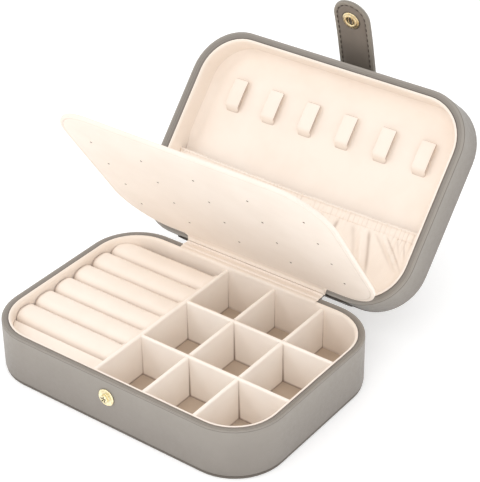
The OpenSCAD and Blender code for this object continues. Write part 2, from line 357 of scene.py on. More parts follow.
def ring(half_x, half_y, r, centre=(0.0, 0.0), step=4.0, turns=12):
    """Points and outward directions round a rectangle with round corners."""
    points = []
    for k in range(4):
        sx = 1 if k in (0, 3) else -1
        sy = 1 if k < 2 else -1
        middle = Vector((centre[0] + sx * (half_x - r), centre[1] + sy * (half_y - r)))
        for i in range(turns + 1):
            a = math.pi / 2 * (k + i / turns)
            out = Vector((math.cos(a), math.sin(a)))
            points.append((middle + r * out, out))
        side = 2 * (half_x - r) if k % 2 == 0 else 2 * (half_y - r)
        along = Vector((-out.y, out.x))
        last = points[-1][0]
        parts = max(1, round(side / step))
        points += [(last + along * side * i / parts, out) for i in range(1, parts)]
    return points


def fillet(corners, steps=4):
    """Closed outline through corners of (a, b, radius), each rounded."""
    out = []
    for i, (a, b, r) in enumerate(corners):
        p = Vector((a, b))
        to_last = Vector(corners[i - 1][:2]) - p
        to_next = Vector(corners[(i + 1) % len(corners)][:2]) - p
        if r <= 0:
            out.append(p)
            continue
        half = to_last.angle(to_next) / 2
        reach = min(r / math.tan(half), 0.49 * to_last.length, 0.49 * to_next.length)
        r = reach * math.tan(half)
        u, w = to_last.normalized(), to_next.normalized()
        middle = p + (u + w).normalized() * (r / math.sin(half))
        start, end = p + u * reach - middle, p + w * reach - middle
        sweep = start.angle(end)
        for k in range(steps + 1):
            t = k / steps
            arm = start * math.sin((1 - t) * sweep) + end * math.sin(t * sweep)
            out.append(middle + arm / math.sin(sweep))
    return out


def grid_faces(rows, columns, closed=False, first=0):
    """Faces between rows of points, each row a loop. closed joins the last row to the first."""
    faces = []
    for i in range(rows if closed else rows - 1):
        a, b = first + i * columns, first + (i + 1) % rows * columns
        for j in range(columns):
            k = (j + 1) % columns
            faces.append((a + j, a + k, b + k, b + j))
    return faces


def swept(points, profile):
    """Closed profile of (inset, height) carried round a closed ring."""
    verts = [(p.x - n.x * d, p.y - n.y * d, z) for p, n in points for d, z in profile]
    return verts, grid_faces(len(points), len(profile), closed=True)


def plate(points, rows, centre=(0.0, 0.0)):
    """Closed plate from rows of (inset, share, height), middle of one face to the other."""
    count = len(points)
    middle = Vector(centre)
    verts = [(*middle, rows[0][2])]
    for d, share, z in rows:
        for p, n in points:
            q = middle + (p - n * d - middle) * share
            verts.append((q.x, q.y, z))
    verts.append((*middle, rows[-1][2]))
    faces = grid_faces(len(rows), count, first=1)
    last = 1 + (len(rows) - 1) * count
    for i in range(count):
        k = (i + 1) % count
        faces += [(0, 1 + k, 1 + i), (last + i, last + k, len(verts) - 1)]
    return verts, faces


# Inset at which the flat middle of a plate starts, and its rings as shares of that outline
CORE = 14
SHARES = [0.06, 0.2, 0.35, 0.5, 0.65, 0.8, 0.92]


def core_rows(low, high, between):
    """Rows of a plate whose middle is flat at low and at high, with the given rows between."""
    rows = [(CORE, s, low) for s in SHARES] + between
    return rows + [(CORE, s, high) for s in reversed(SHARES)]


def plate_marks(points, rows, painted_shade_at):
    """Painted shade of each vertex of a plate, from the inset of its row."""
    rings = [painted_shade_at(d) for d, _, _ in rows for _ in points]
    return {"painted_shade": [0.0] + rings + [0.0]}


def loft(sections):
    """Closed solid through sections, each the same number of points, with flat ends."""
    m = len(sections[0])
    verts = [tuple(p) for section in sections for p in section]
    faces = grid_faces(len(sections), m)
    faces += [tuple(reversed(range(m))), tuple(range(len(verts) - m, len(verts)))]
    return verts, faces


def lathe(profile, sides=64):
    """Solid of revolution about Z from (radius, height) points, with flat ends."""
    angles = [2 * math.pi * i / sides for i in range(sides)]
    return loft([[(r * math.cos(a), r * math.sin(a), z) for a in angles] for r, z in profile])


def turned(name, profile, material, pose, painted_shade_at=None):
    """Metal part turned from a profile, with painted shade in its recesses from the given function of radius and
    height.
    """
    verts, faces = lathe(profile)
    marks = painted_shade_at and {"painted_shade": [painted_shade_at(math.hypot(x, y), h) for x, y, h in verts]}
    return piece(name, (verts, faces), material, pose, marks, 60)


def squared(value, power):
    """A cosine or sine raised to a power below 1, which squares off the round it draws."""
    return math.copysign(abs(value) ** power, value)


def solid_sheet(surface, across, along, thick):
    """Thin closed cloth over surface(u, v), u and v from 0 to 1, with rounded edges."""
    def normal(u, v):
        h = 1e-3
        du = surface(min(u + h, 1), v) - surface(max(u - h, 0), v)
        dv = surface(u, min(v + h, 1)) - surface(u, max(v - h, 0))
        return du.cross(dv).normalized()

    def section(v):
        front, back = [], []
        for i in range(across + 1):
            u = i / across
            p, n = surface(u, v), normal(u, v)
            half = thick / 2 * (0.45 if i in (0, across) or v in (0, 1) else 1.0)
            front.append(p + n * half)
            back.append(p - n * half)
        return front + back[::-1]

    return loft([section(j / along) for j in range(along + 1)])


def tube(path, radius, sides=8):
    """Round rod along path with domed ends."""
    sections = []
    steps = [(path[0], 0.35)] + [(p, 1.0) for p in path[1:-1]] + [(path[-1], 0.35)]
    for i, (p, share) in enumerate(steps):
        ahead = path[min(i + 1, len(path) - 1)] - path[max(i - 1, 0)]
        side = ahead.orthogonal().normalized()
        up = ahead.normalized().cross(side)
        circle = []
        for k in range(sides):
            a = 2 * math.pi * k / sides
            circle.append(p + (side * math.cos(a) + up * math.sin(a)) * radius * share)
        sections.append(circle)
    return loft(sections)


# ---------------------------------------------------------------- camera, floor and light

# Fitted to the base's outline: lens in millimetres, angles in degrees, and the camera's place
# along its own axes
SENSOR = 36.0
FOCAL = 123.625
AZIMUTH, ELEVATION, ROLL = 37.01, 32.62, -0.62
SIGHT = Vector((28.4, 64.0, 829.2)) * MM

lens = bpy.data.cameras.new("camera")
lens.sensor_width = SENSOR
lens.lens = FOCAL
lens.clip_start, lens.clip_end = 0.01, 20.0
camera = bpy.data.objects.new("camera", lens)
bpy.context.scene.collection.objects.link(camera)
aim = Matrix.Rotation(math.radians(AZIMUTH), 4, "Z")
aim = aim @ Matrix.Rotation(math.radians(90 - ELEVATION), 4, "X")
aim = aim @ Matrix.Rotation(math.radians(ROLL), 4, "Z")
camera.matrix_world = aim @ Matrix.Translation(SIGHT)
bpy.context.scene.camera = camera


def soft_light(name, place, target, size, watts, colour=(1.0, 1.0, 1.0)):
    """Square area light at place, turned to target, in metres."""
    data = bpy.data.lights.new(name, "AREA")
    data.size = size
    data.energy = watts
    data.color = colour
    made = bpy.data.objects.new(name, data)
    bpy.context.scene.collection.objects.link(made)
    made.location = place
    made.rotation_euler = (Vector(target) - Vector(place)).to_track_quat("-Z", "Y").to_euler()


def studio():
    """White floor, white surroundings, a soft key from the left and a low fill."""
    size = 3.0
    verts = [(x * size, y * size, 0.0) for x, y in ((-1, -1), (1, -1), (1, 1), (-1, 1))]
    mesh = bpy.data.meshes.new("floor")
    mesh.from_pydata(verts, [], [(0, 1, 2, 3)])
    n = Nodes("white_floor")
    pale = n.ramp(n.noise(3, 1), (0.4, (0.93, 0.93, 0.93, 1)), (0.6, (0.95, 0.95, 0.95, 1)))
    rough, tooth = n.span(n.noise(8, 1), 0.9, 0.95), n.bump(n.noise(40), 0.00001, 0.1)
    glow = {"Emission_Color": (1.0, 1.0, 1.0, 1.0), "Emission_Strength": 0.25}
    mesh.materials.append(n.finish(pale, rough, tooth, **glow))
    floor = bpy.data.objects.new("floor", mesh)
    bpy.context.scene.collection.objects.link(floor)
    world = bpy.data.worlds.new("studio")
    world.use_nodes = True
    world.node_tree.nodes["Background"].inputs["Color"].default_value = (1.0, 1.0, 1.0, 1.0)
    world.node_tree.nodes["Background"].inputs["Strength"].default_value = 0.97
    bpy.context.scene.world = world
    bpy.context.scene.view_settings.view_transform = "Standard"
    soft_light("key", (-0.75, -0.8, 1.05), (0, 0.02, 0.03), 0.45, 2.3, (1.0, 0.985, 0.97))
    soft_light("fill", (0.55, -0.85, 1.05), (0, 0.04, 0.03), 0.9, 2.8)


studio()

# ---------------------------------------------------------------- base

case_ring = ring(half_l, half_w, corner_r)
# How far the leather of a wall reaches in, and which way each wall rises to its rim
RIM_IN = wall_t - 0.2
UP, DOWN = 1, -1


def room_half(y):
    """Half the inner length of the base and the lid at y, inside their round corners."""
    r = corner_r - inset
    over = max(abs(y) - (half_w - inset - r), 0.0)
    return half_l - inset - r + math.sqrt(max(r * r - over * over, 0.0))


def shell_profile(rim, far, way):
    """Leather-covered wall: rolled rim with two fine creases, a seam under it, a plain side."""
    # (inset, how far below the rim, radius): seam, outer edge, two creases, inner edge
    top = [
        (0.0, 0.66, 0.12), (0.16, 0.5, 0.08), (0.16, 0.4, 0.08), (0.04, 0.26, 0.08),
        (0.08, 0.0, 0.22), (1.0, 0.0, 0), (1.15, 0.13, 0), (1.3, 0.0, 0),
        (RIM_IN - 1.15, 0.02, 0), (RIM_IN - 1.0, 0.16, 0), (RIM_IN - 0.85, 0.04, 0),
        (RIM_IN - 0.4, 0.05, 0), (RIM_IN - 0.2, 0.18, 0), (RIM_IN - 0.07, 0.45, 0),
        (RIM_IN, 1.0, 0), (RIM_IN, 3.0, 0),
    ]
    corners = [(0.45, far, 0.15), (0.0, far + 0.5 * way, 0.5)]
    corners += [(d, rim - below * way, r) for d, below, r in top] + [(RIM_IN, far, 0.2)]
    return [(p.x, p.y) for p in fillet(corners, 5)]


def shell_marks(profile, count, rim, far, way):
    """Painted shade and painted highlight, partly wear, of each point of the shell, from its place in the profile.
    """
    painted_shade, wear_and_highlight = [], []
    for d, z in profile:
        below = (rim - z) * way
        # Painted shade: in the seam under the rim, in the two fine creases and over the band of the rim top, on
        # the rim's inner roll, and along the foot, which is partly a seam.
        seam = 0.4 * ease((d - 0.06) / 0.08) * (d < 0.4 and 0.32 < below < 0.6)
        fine = 0.42 * (0.08 < below < 0.3 and min(abs(d - 1.15), abs(d - RIM_IN + 1.0)) < 0.06)
        band = (0.04 + 0.06 * (d > RIM_IN - 1.2)) * (d > 1.25) * (below < 0.6)
        inner = 0.2 + 0.4 * ease((d - RIM_IN + 0.25) / 0.2) if d > RIM_IN - 0.45 else 0.0
        foot = 0.85 * (abs(z - far) < 0.35)
        painted_shade.append(max(seam, fine, band, inner, foot))
        # Painted highlight, partly wear: on the rounded outer edge, the outer part of the rim top, the lip at the
        # seam, and the rim's flat.
        edge = max(0.0, 1 - abs(below - 0.15) / 0.35) * (d < 0.45)
        top = 0.55 * (0.4 < d < 1.2)
        lip = max(0.0, 1 - abs(below - 0.72) / 0.2) * (d < 0.12)
        flat = 0.25 * (1.25 < d < RIM_IN - 0.45)
        wear_and_highlight.append(max(0.85 * edge, top, 0.5 * lip, flat))
    return {"painted_shade": painted_shade * count, "wear_and_highlight": wear_and_highlight * count}


def wall_shell(name, rim, far, way, pose, body, node, bulge=0.0):
    """One leather-covered wall. bulge is how far its padded sides swell out."""
    profile = shell_profile(rim, far, way)
    marks = shell_marks(profile, len(case_ring), rim, far, way)
    faces = swept(case_ring, profile)[1]
    swollen = []
    for (p, out), (d, z) in ((point, at) for point in case_ring for at in profile):
        up = min(max((z - rim) / (far - rim), 0.0), 1.0)
        sideways = abs(out.x) + 0.35 * max(-out.y, 0.0)
        swell = 0.85 * sideways * math.sin(0.85 * math.pi * up**0.7)
        side = bulge * (swell + 0.5 * max(-out.x, 0.0) * (1 - up) ** 2)
        side *= ease((wall_t - d) / 1.5)
        swollen.append((p.x - out.x * (d - side), p.y - out.y * (d - side), z))
    made = piece(name, (swollen, faces), case_leather, pose, marks)
    made.modifiers.new("normals", "WEIGHTED_NORMAL").keep_sharp = True
    place(made, body, "leather", node)


def lining_band(name, rim, far, way, pose, body, node):
    """Velvet band inside a wall, rolled over its board at the rim."""
    outer = RIM_IN + 0.08
    corners = [
        (outer, far, 0.1), (outer, rim - 0.9 * way, 0.3), (outer - 0.04, rim, 0.4),
        (outer + 0.75, rim, 0.35), (inset - 0.2, rim - 0.85 * way, 0.6),
        (inset, rim - 2.2 * way, 0.5), (inset, far + 2.6 * way, 0),
        (inset, far + 1.3 * way, 0), (inset, far, 0.1),
    ]
    profile = [(p.x, p.y) for p in fillet(corners, 4)]
    verts, faces = swept(case_ring, profile)
    soft = []
    for x, y, z in verts:
        near = ease(1 - abs(z - rim) / 3.0)
        shift = 0.05 * near * ripple(x, y, 3.0, 7.0)
        soft.append((x * (1 - shift / half_l), y * (1 - shift / half_w), z + shift * way))
    # Painted shade: the band darkens near the floor, and its outer face behind the leather goes dark.
    low = [0.3 * ease(1 - (abs(z - far) - 1.0) / 1.6) * (d > inset - 0.3) for d, z in profile]
    behind = [0.9 * (d < outer + 0.02) * ((rim - z) * way > 0.35) for d, z in profile]
    painted_shade = [max(pair) for pair in zip(low, behind)] * len(case_ring)
    place(piece(name, (soft, faces), cream_velvet, pose, {"painted_shade": painted_shade}), body, "velvet", node)


def flat_panel(name, low, high, edge_in, puff, pose, body, node):
    """Leather panel with rounded edges and a slightly padded outer face."""
    r = 0.5
    edge = [
        (CORE, 1.0, low), (edge_in + 3, 1.0, low + 0.02), (edge_in + r, 1.0, low + 0.05),
        (edge_in + 0.12, 1.0, low + 0.22), (edge_in, 1.0, low + r), (edge_in, 1.0, high - r),
        (edge_in + 0.12, 1.0, high - 0.2), (edge_in + r, 1.0, high - 0.04),
        (edge_in + 3, 1.0, high + puff * 0.35), (CORE, 1.0, high + puff),
    ]
    rows = core_rows(low, high + puff, edge)
    # Painted shade along the panel's rounded edges.
    marks = plate_marks(case_ring, rows, lambda d: 0.75 * (d < edge_in + 0.2))
    place(piece(name, plate(case_ring, rows), case_leather, pose, marks), body, "leather", node)


def ring_floor():
    """Foam bed with the flat ledge along the front, under one velvet cover."""
    low, high = box_in("ring_tray")
    roll_low = box_in("ring_roll_6")[0]
    front = low.y + 0.1
    bed_z = roll_low.z
    steps = 44
    sections = []
    for i in range(steps + 1):
        y = front + (high.y - front) * i / steps
        x_low = 0.1 - room_half(y)
        top = high.z - (high.z - bed_z) * ease((y - roll_low.y + 1.0) / 1.6)
        outline = [(x_low, floor_z, 0.1), (high.x, floor_z, 0.1)]
        outline += [(high.x, top, 0.8), (x_low, top, 0.8)]
        sections.append([(p.x, y, p.y) for p in fillet(outline, 3)])
    made = piece("ring_tray_cover", loft(sections), cream_velvet)
    place(made, "base", "velvet", "ring_tray")


# Length over which a roll turns square at the divider
ROLL_END = 2.4


def ring_roll(i):
    """One velvet roll: round over most of its length, and level where it meets the divider."""
    node = f"ring_roll_{i}"
    low, high = box_in(node)
    mid_y, mid_z = (low.y + high.y) / 2, (low.z + high.z) / 2
    r = (high.z - low.z) / 2
    steps, sides = 150, 40
    sections, painted_shade = [], []
    for k in range(steps + 1):
        t = k / steps
        # close rings at both ends, for the rounded rims
        t = 0.5 - 0.5 * math.cos(math.pi * t) if min(k, steps - k) < 4 else t
        x = low.x + 0.1 + (high.x - low.x - 0.1) * t
        from_left, from_right = x - low.x, high.x - x
        dome = 1 - 0.07 * (1 - ease(from_left / 0.9)) ** 1.5
        dome -= 0.04 * (1 - ease(from_right / 0.9))
        square = ease((ROLL_END - from_right) / 1.3)
        power = 2 / (2.75 + 8 * square)
        section = []
        for j in range(sides):
            a = 2 * math.pi * j / sides
            yy = squared(math.cos(a), power) * (r + 0.11 * square)
            zz = squared(math.sin(a), power) * r
            soft = 1 + 0.012 * ripple(x, 40.0 * i + yy, zz, 9.0)
            p = Vector((x, mid_y + yy * dome * soft, mid_z + zz * dome * soft))
            p.x = max(p.x, 0.25 - room_half(p.y) + from_left * 0.02)
            section.append(p)
            # Painted shade along the valleys between rolls and round the roll's left end.
            valley = 0.22 * ease(1 - abs(zz - 3.0) / 3.0) * (from_right > ROLL_END - 0.6)
            painted_shade.append(max(valley, 0.75 * ease(1 - from_left / 0.7)))
        sections.append(section)
    made = piece(f"velvet_roll_{i}", loft(sections), cream_velvet, BASE, {"painted_shade": painted_shade}, 60)
    place(made, "base", "velvet", node)


def divider(name, node, along, cuts, cut_from_top):
    """Velvet-covered strip with a rounded top edge and the slots of the crossing strips."""
    low, high = box_in(node)
    axis = 0 if along == "x" else 1
    start, end = low[axis], high[axis]
    mid = (low[1 - axis] + high[1 - axis]) / 2
    half = (high[1 - axis] - low[1 - axis]) / 2
    mid_z = (low.z + high.z) / 2
    gap = half + 0.12
    stops = [start + (end - start) * i / 40 for i in range(41)]
    for cut in cuts:
        stops = [s for s in stops if abs(s - cut) > gap + 1.2]
        for way in (-1, 1):
            stops += [cut + way * (gap + step) for step in (-0.01, 0.01, 0.45, 0.9)]
    stops = [s for s in stops if min(s - start, end - s) > 1.0 or s in (start, end)]
    stops += [start + 0.45, start + 0.9, end - 0.9, end - 0.45]
    sections = []
    for s in sorted(stops):
        inside = any(abs(s - cut) < gap for cut in cuts)
        bottom = mid_z + 0.1 if inside and not cut_from_top else low.z
        top = high.z + 0.06 * ripple(s, mid, 1.0, 8.0)
        top = mid_z - 0.1 if inside and cut_from_top else top
        wave = 0.05 * ripple(s, mid, 7.0, 12.0)
        w = half + 0.03 * ripple(s, mid, 11.0, 9.0)
        right = [(w, bottom, 0.1), (w, bottom + 0.45, 0), (w, bottom + 1.4, 0), (w, top, 1.0)]
        left = [(-x, z, r) for x, z, r in reversed(right)]
        section = [(s, mid + wave + p.x, p.y) for p in fillet(left[-1:] + right + left[:-1], 5)]
        sections.append(section if axis == 0 else [(y, x, z) for x, y, z in section])
    # The strip takes the lighter velvet, painted light for walls in the cells' shade.
    made = piece(name, loft(sections), cell_velvet_painted_light, BASE, None, 50)
    # Painted shade along the strip's foot and down its corners at the crossing strips and the walls, darker lower
    # down.
    painted_shade = []
    for v in made.data.vertices:
        s, z = v.co[axis] / MM, v.co.z / MM
        corner = min([abs(s - cut) - gap for cut in cuts] + [s - start, end - s])
        deep = ease((high.z - z) / 6.0)
        painted_shade.append(max(ease(1 - (z - low.z) / 1.1), deep * ease(1 - corner / 0.85)))
    paint(made, painted_shade)
    place(made, "base", "velvet", node)


def slots(level, radius, width, depth, count, phase):
    """Small ovals of painted shade set round a disc, with their top at level."""
    bars = []
    for i in range(count):
        a = 2 * math.pi * i / count + phase
        out = Vector((math.cos(a), math.sin(a), 0))
        side = Vector((-out.y, out.x, 0))
        outline = []
        for k in range(12):
            b = 2 * math.pi * k / 12
            far = radius + math.cos(b) * width * 1.6
            outline.append(out * far + side * math.sin(b) * width)
        ends = (level - depth, level)
        bars.append(loft([[p + Vector((0, 0, z)) for p in outline] for z in ends]))
    return joined(*bars)


def stud():
    """Press stud: rolled flange, dished ring and a split knob, on the front wall."""
    low, high = box_in("snap_stud")
    r = 0.93 * (high.x - low.x) / 2
    pose = Matrix.Translation(Vector((0, -half_w, mid_of("snap_stud", 2))) * MM)
    pose = pose @ Matrix.Rotation(math.radians(90), 4, "X")
    # post in the wall, rolled flange, dish, neck and rim of the knob, and its middle
    profile = [
        (0.02, -0.6), (1.4, -0.6), (1.4, 0.02),
        (r - 0.1, 0.02), (r, 0.18), (r - 0.02, 0.45), (r - 0.2, 0.72), (r - 0.5, 0.86),
        (r - 0.9, 0.84), (r - 1.15, 0.66), (r - 1.35, 0.5), (2.75, 0.44), (2.35, 0.5),
        (2.1, 0.68), (2.0, 0.95), (1.93, 1.35), (2.02, 1.7), (2.1, 1.95), (2.02, 2.2),
        (1.7, 2.36), (1.2, 2.42), (0.75, 2.4), (0.55, 2.28), (0.45, 2.1), (0.02, 2.05),
    ]

    # Painted shade in the knob's middle, round the dish and at the flange's foot.
    def recess_shade_at(d, h):
        dish = 0.4 * ease(1 - abs(d - 2.3) / 0.4) * (h < 0.8)
        return 1.0 if d < 0.5 else max(dish, 1.0 * (h < 0.3))

    place(turned("press_stud", profile, pale_brass, pose, recess_shade_at), "base", "gold", "snap_stud")
    # Painted shade in the slits of the knob, as dark ovals.
    dots = slots(level=2.46, radius=1.12, width=0.36, depth=0.12, count=5, phase=0.3)
    place(piece("press_stud_slots", dots, painted_shade_dark, pose), "base", "gold")


def base():
    wall_shell("base_leather_wall", rim_z, bottom_t + 0.12, UP, BASE, "base", "base_wall")
    lining_band("base_velvet_lining", lining_top, floor_z - 1.0, UP, BASE, "base", "base_lining")
    low, high = box_in("base_bottom")
    top, edge_in = high.z + 0.05, half_l - high.x
    flat_panel("base_leather_bottom", low.z, top, edge_in, 0.0, BASE, "base", "base_bottom")
    # The base's floor takes the darker velvet, painted shade for the floors of the cells.
    nodes["base_floor"].data.materials[0] = floor_velvet_painted_shade
    nodes["stud_washer"].data.materials[0] = washer_steel
    ring_floor()
    for i in range(1, 7):
        ring_roll(i)
    rows = [mid_of("divider_x_front", 1), mid_of("divider_x_rear", 1)]
    columns = [mid_of("divider_y_left", 0), mid_of("divider_y_right", 0)]
    divider("section_wall", "section_divider", "y", [], True)
    divider("divider_strip_y_left", "divider_y_left", "y", rows, True)
    divider("divider_strip_y_right", "divider_y_right", "y", rows, True)
    divider("divider_strip_x_front", "divider_x_front", "x", columns, False)
    divider("divider_strip_x_rear", "divider_x_rear", "x", columns, False)
    stud()


base()

# ---------------------------------------------------------------- lid

# How far the lid's padded sides swell, and the height and width of the cove round its panel
LID_BULGE = 2.3
COVE_UP, COVE_OUT = 4.0, 5.5


def lid_pad():
    """Padded velvet panel, turned up in a soft cove where it meets the lining."""
    low, high = box_in("lid_panel", LID)
    hidden = half_l - high.x
    back = high.z - 0.05
    insets = [inset + step for step in (0.0, 0.12, 0.3, 0.6)]
    insets += [inset + COVE_OUT * k / 12 for k in range(2, 13)] + [inset + 7.0, CORE]

    def cove(d):
        """Share of the cove's height at inset d."""
        past = min(max((d - inset) / COVE_OUT, 0.0), 1.0)
        return 1 - math.sqrt(max(1 - (1 - past) ** 2.2, 0.0)) if past > 0.02 else 0.8

    between = [(d, 1.0, low.z) for d in reversed(insets)]
    between += [(hidden, 1.0, low.z + 0.4), (hidden, 1.0, back), (CORE, 1.0, back)]
    rows = core_rows(low.z, back, between)
    verts, faces = plate(case_ring, rows)
    soft = [verts[0]]
    count = len(case_ring)
    for i, (x, y, z) in enumerate(verts[1:-1]):
        d, share, _ = rows[i // count]
        if z < low.z + 0.1:
            # the cove ends under the pocket
            fade = (1 - ease((y - 2.0) / 8.0)) * (share == 1.0)
            z -= COVE_UP * cove(d) * fade + 0.1 * ripple(x, y, 0.0, 26.0)
        soft.append((x, y, z))
    soft.append(verts[-1])
    # Painted shade where the panel meets the lining.
    marks = plate_marks(case_ring, rows, lambda d: 0.15 * (d < inset + 0.2))
    made = piece("lid_padded_panel", (soft, faces), pad_velvet, LID, marks, 60)
    place(made, "lid", "velvet_panel", "lid_panel")


def necklace_hook(i):
    """Folded velvet tongue: it slants out of the panel and ends free, with a soft tip."""
    node = f"necklace_hook_{i}"
    low, high = box_in(node, LID)
    mid_x, half = (low.x + high.x) / 2, (high.x - low.x) / 2
    root_y, free_y = high.y, low.y
    reach = root_y - free_y
    lift = high.z - low.z
    thick = 1.1
    wobble = 0.5 * ripple(i * 31.0, 5.0, 0.0, 7.0)

    def centre(t):
        """Middle of the tongue, t from 0 at the panel to 1 at the tip."""
        rise = ease(t / 0.17)
        y = root_y - 0.6 - (reach - 0.6) * t
        z = high.z + 0.5 - (lift - thick / 2 + 0.45) * rise + 0.35 * ease((t - 0.7) / 0.3)
        return Vector((mid_x + wobble * t * 0.3, y, z))

    sections = []
    steps = 26
    for k in range(steps + 1):
        t = k / steps
        t = 1 - (1 - t) ** 1.25
        c = centre(t)
        ahead = (centre(min(t + 0.02, 1.0)) - centre(max(t - 0.02, 0.0))).normalized()
        up = Vector((1, 0, 0)).cross(ahead).normalized()
        from_tip = (1 - t) * reach
        tip = 1 - (1 - min(from_tip / 0.9, 1.0)) ** 2
        w = half * (0.9 + 0.1 * math.sqrt(max(tip, 0.0))) * (1.0 - 0.1 * ease(1 - t / 0.2))
        h = thick / 2 * (0.35 + 0.65 * math.sqrt(min(from_tip / 0.7, 1.0)))
        section = []
        for j in range(20):
            a = 2 * math.pi * j / 20
            x = squared(math.cos(a), 0.3) * w
            z = squared(math.sin(a), 0.8) * h
            bow = 0.28 * (1 - (x / half) ** 2)
            section.append(c + Vector((x, 0, 0)) + up * (z + bow * (0.4 + 0.6 * t)))
        sections.append(section)
    made = piece(f"velvet_hook_{i}", loft(sections), cream_velvet, LID, None, 60)
    shut = LID.inverted()
    painted_shade = []
    # Painted shadow: on the tongue's right side, at its free end, and where it lies close to the panel.
    for v in made.data.vertices:
        at = shut @ v.co / MM
        side = 0.75 * ease((at.x - mid_x - half + 0.3) / 0.2)
        under = 0.75 * ease((free_y + 0.3 - at.y) / 0.25)
        painted_shade.append(max(0.45 * ease((at.z - pad_z + 0.7) / 0.5), side, under))
    paint(made, painted_shade)
    place(made, "lid", "velvet", node)


# Cloth taken up by the gathers, and the distance from one gather to the next
GATHER, PLEAT = 1.15, 2.7
# Deep folds of the pocket, placed from the photo: x at the elastic, x at the wall, width,
# depth, and how far down they reach
FOLDS = [
    (42.5, 54.2, 4.9, 2.2, 0.62), (53.9, 86.9, 3.4, 1.6, 0.42), (66, 80, 1.8, 0.8, 0.25),
    (24, 20, 5.0, 1.1, 0.8), (8, 3, 3.6, 1, 0.6), (-9, -7, 4.6, 1.5, 0.85),
    (-27, -33, 5.2, 1.3, 0.7),
    (-44, -54, 5.0, 1.8, 0.8), (-59, -71, 4.2, 1.5, 0.75), (-68, -76, 2.8, 1, 0.5),
]


def pleat(x):
    """Height of the gathers across the elastic, from -1 to 1."""
    phase = 2 * math.pi * x / PLEAT + 3.4 * ripple(x, 0.0, 0.0, 6.0)
    return math.sin(phase) * (0.65 + 0.8 * ripple(x, 4.0, 0.0, 5.0))


def pocket_half(y):
    """Half the pocket's length at y, just clear of the lid's lining."""
    return room_half(y) - 0.15


def folds(x, v):
    """(height, painted shade) of the pocket's folds at x, v from 0 at the elastic to 1 at the wall."""
    height, painted_shade = 0.0, 0.0
    for top, foot, width, depth, reach in FOLDS:
        middle = top + (foot - top) * v + 0.5 * math.sin(5 * v)
        fade = ease(v / 0.1) * ease((reach + 0.12 - v) / 0.25)
        across = (x - middle) / (width * (1 - 0.35 * v))
        lean = 1 + 0.5 * math.tanh(3 * across)
        height += depth * fade * math.exp(-2.2 * across * across) * lean
        # Painted shade along one side of each fold, and near the elastic along the other.
        painted_shade = max(painted_shade, 0.5 * fade * math.exp(-((across - 1.05) / 0.2) ** 2))
        painted_shade = max(painted_shade, 0.25 * fade * (1 - v) * math.exp(-((across + 1.0) / 0.3) ** 2))
    return height, painted_shade


def pocket():
    """Gathered pocket: a shirred elastic edge, and the cloth that hangs from it in folds."""
    low, high = box_in("pocket_elastic", LID)
    mid_z = mid_of("pocket_elastic", 2, LID)
    back_y = box_in("pocket_sheet", LID)[1].y
    seam_z = pad_z - 0.35

    def sides(u):
        return ease((1 - abs(2 * u - 1)) / 0.03)

    def band(u, v):
        x = (2 * u - 1) * pocket_half(high.y)
        y = low.y + (high.y - low.y) * v
        hem = ease(1 - v / 0.2)
        gather = pleat(x) * (1 - hem) * sides(u) * (0.75 + 0.25 * math.sin(9 * v))
        z = mid_z + 0.2 - 0.42 * gather
        z -= 0.55 * math.sin(math.pi * min(v / 0.2, 1.0)) - 0.3 * ripple(x, y, 9.0, 30.0)
        sag = 1.3 * math.sin(math.pi * u)
        return Vector((x, y + sag * (1 - 0.5 * v) + 0.2 * hem * ripple(x, 1.0, 0.0, 9.0), z))

    def drape(u, v):
        start = high.y - 0.25 + 0.65 * math.sin(math.pi * u)
        y = start + (back_y - 0.05 - start) * v
        flat_x = (2 * u - 1) * pocket_half(high.y)
        x = (2 * u - 1) * pocket_half(y)
        z = mid_z + 0.1 + (seam_z - mid_z) * v**1.6
        z -= 0.36 * pleat(flat_x) * math.exp(-6.5 * v) * sides(u)
        hang = math.sin(math.pi * min(v, 1.0)) ** 0.7
        z -= (folds(x, v)[0] + 0.9 * ripple(flat_x, 14 * v, 4.0, 15.0) + 0.5) * hang * sides(u)
        corner = 0.3 + 0.9 * ease((abs(flat_x) - 55.0) / 12.0)
        z -= corner * ripple(flat_x, 9 * v, 8.0, 3.0) * math.exp(-2.5 * v) * sides(u)
        return Vector((x, y, min(z, pad_z - 0.25)))

    def cloth_piece(name, surface, along, thick, painted_shade_at):
        """One sheet of the pocket: surface(u, v) and its painted shade at the same places."""
        across, painted_shade = 460, []
        for j in range(along + 1):
            row = [painted_shade_at(i / across, j / along) for i in range(across + 1)]
            painted_shade += row + row[::-1]
        shape = solid_sheet(surface, across, along, thick)
        return piece(name, shape, cream_velvet, LID, {"painted_shade": painted_shade}, 80)

    # Painted shade in the hollows of the gathers, stronger towards the right end.
    def band_painted_shade(u, v):
        x = (2 * u - 1) * pocket_half(high.y)
        depth = 0.2 * ease(ripple(x, 2.0, 0.0, 7.0) + 0.5) * ease((x + 45) / 60)
        depth += 0.02 + 0.2 * ease((x - 58) / 10)
        return depth * ease((-pleat(x) - 0.1) / 0.8) * ease((v - 0.16) / 0.1)

    # Painted shade in the gathers under the elastic and along the folds.
    def drape_painted_shade(u, v):
        x = (2 * u - 1) * pocket_half(high.y - 0.25 + (back_y - high.y) * v)
        flat_x = (2 * u - 1) * pocket_half(high.y)
        depth = 0.06 + 0.3 * ease((flat_x - 58) / 10)
        gathers = depth * ease((-pleat(flat_x) - 0.1) / 0.8) * math.exp(-8 * v)
        return max(gathers, folds(x, v)[1])

    elastic = cloth_piece("pocket_elastic_band", band, 14, 0.8, band_painted_shade)
    place(elastic, "lid", "velvet", "pocket_elastic")
    cloth = cloth_piece("pocket_cloth", drape, 52, 0.6, drape_painted_shade)
    place(cloth, "lid", "velvet", "pocket_sheet")


